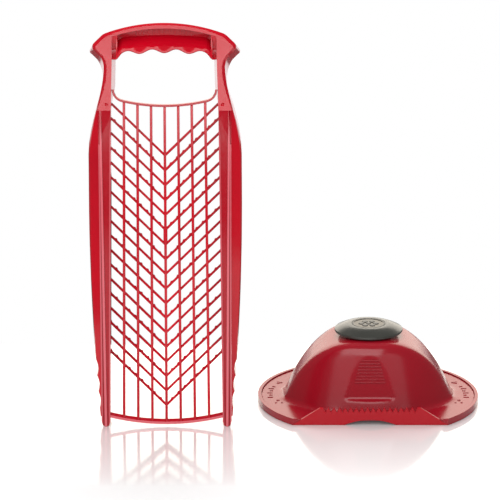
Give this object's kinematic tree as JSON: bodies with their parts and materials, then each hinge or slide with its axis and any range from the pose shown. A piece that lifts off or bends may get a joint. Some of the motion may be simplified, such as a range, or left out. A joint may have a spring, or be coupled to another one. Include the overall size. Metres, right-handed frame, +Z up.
{
  "type": "hand grater with food holder",
  "caption": "Standing V-pattern hand grater with toothed and smooth knives across upright guide bars, and its round food holder with comb plate and push knob.",
  "frame": {"origin": "middle of the footprint of the whole set, on the surface that it stands on", "axes": "+Z up, +X from the grater towards the food holder, -Y is the front of the grater"},
  "size_m": [0.3428, 0.173, 0.361],
  "materials": {
    "red_plastic": "glossy injection moulding",
    "wine_plastic": "satin injection moulding",
    "mark_paint": "raised plain marks",
    "knob_plastic": "dark satin",
    "inner_plastic": "dark satin",
    "emblem_metal": "satin silver",
    "steel": "polished"
  },
  "bodies": {
    "grater": {"handle_shell": "red_plastic", "handle_rib_panel": "red_plastic", "left_neck": "red_plastic", "right_neck": "red_plastic", "left_rail": "red_plastic", "right_rail": "red_plastic", "left_wing": "red_plastic", "right_wing": "red_plastic", "top_crossbar": "red_plastic", "bottom_crossbar": "red_plastic", "guide_bar_1": "red_plastic", "guide_bar_2": "red_plastic", "guide_bar_3": "red_plastic", "guide_bar_4": "red_plastic", "guide_bar_5": "red_plastic", "guide_bar_6": "red_plastic", "guide_bar_7": "red_plastic", "smooth_knife_1": "red_plastic", "smooth_knife_2": "red_plastic", "smooth_knife_3": "red_plastic", "smooth_knife_4": "red_plastic", "smooth_knife_5": "red_plastic", "smooth_knife_6": "red_plastic", "smooth_knife_7": "red_plastic", "smooth_knife_8": "red_plastic", "smooth_knife_9": "red_plastic", "toothed_knife_1": "red_plastic", "toothed_knife_2": "red_plastic", "toothed_knife_3": "red_plastic", "toothed_knife_4": "red_plastic", "toothed_knife_5": "red_plastic", "toothed_knife_6": "red_plastic", "toothed_knife_7": "red_plastic", "toothed_knife_8": "red_plastic", "toothed_knife_9": "red_plastic"},
    "food_holder": {"holder_dome": "wine_plastic", "holder_brim": "wine_plastic", "brim_rim": "wine_plastic", "brim_marks": "mark_paint", "comb_blade": "wine_plastic", "guide_sleeve": "wine_plastic", "guide_ribs": "wine_plastic", "front_thumb_ribs": "wine_plastic", "back_thumb_ribs": "wine_plastic"},
    "plunger": {"knob": "knob_plastic", "knob_emblem": "emblem_metal", "plunger_stem": "inner_plastic", "pin_plate": "inner_plastic", "holding_pins": "steel", "stem_screw": "steel"}
  },
  "joints": [
    {"name": "holder_lift", "type": "slide", "parent": "grater", "child": "food_holder", "axis": [0, 0, 1], "range_m": [0, 0.08]},
    {"name": "plunger_slide", "type": "slide", "parent": "food_holder", "child": "plunger", "axis": [0, 0, 1], "range_m": [0, 0.03]}
  ]
}
